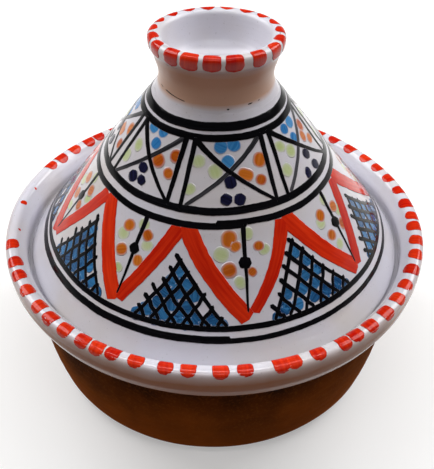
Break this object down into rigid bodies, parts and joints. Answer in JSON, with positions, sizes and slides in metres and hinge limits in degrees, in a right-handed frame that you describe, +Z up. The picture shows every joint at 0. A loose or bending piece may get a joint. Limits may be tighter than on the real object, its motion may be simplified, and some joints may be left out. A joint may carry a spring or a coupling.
{
  "type": "tagine pot",
  "caption": "Earthenware tagine: a deep footed dish with a rolled rim and an inner ledge, and a lift-off conical lid with a cup-shaped knob.",
  "frame": {"origin": "middle of the foot, on the table", "axes": "+Z up along the axis that every piece was thrown on; -Y faces the camera of the picture"},
  "size_m": [0.25, 0.25, 0.2195],
  "materials": {
    "terracotta": "bare fired clay outside, white tin glaze on the rim and inside",
    "painted_glaze": "glossy white tin glaze with hand-painted red, black, blue, orange and green",
    "slip": "dry, unglazed fired slip"
  },
  "bodies": {
    "dish": {"base_dish": "terracotta"},
    "lid": {"lid_cone": "painted_glaze", "knob_luting": "slip", "lid_knob": "painted_glaze"}
  },
  "joints": [
    {"name": "lid_lift", "type": "slide", "parent": "dish", "child": "lid", "axis": [0, 0, 1], "range_m": [0, 0.15]}
  ]
}
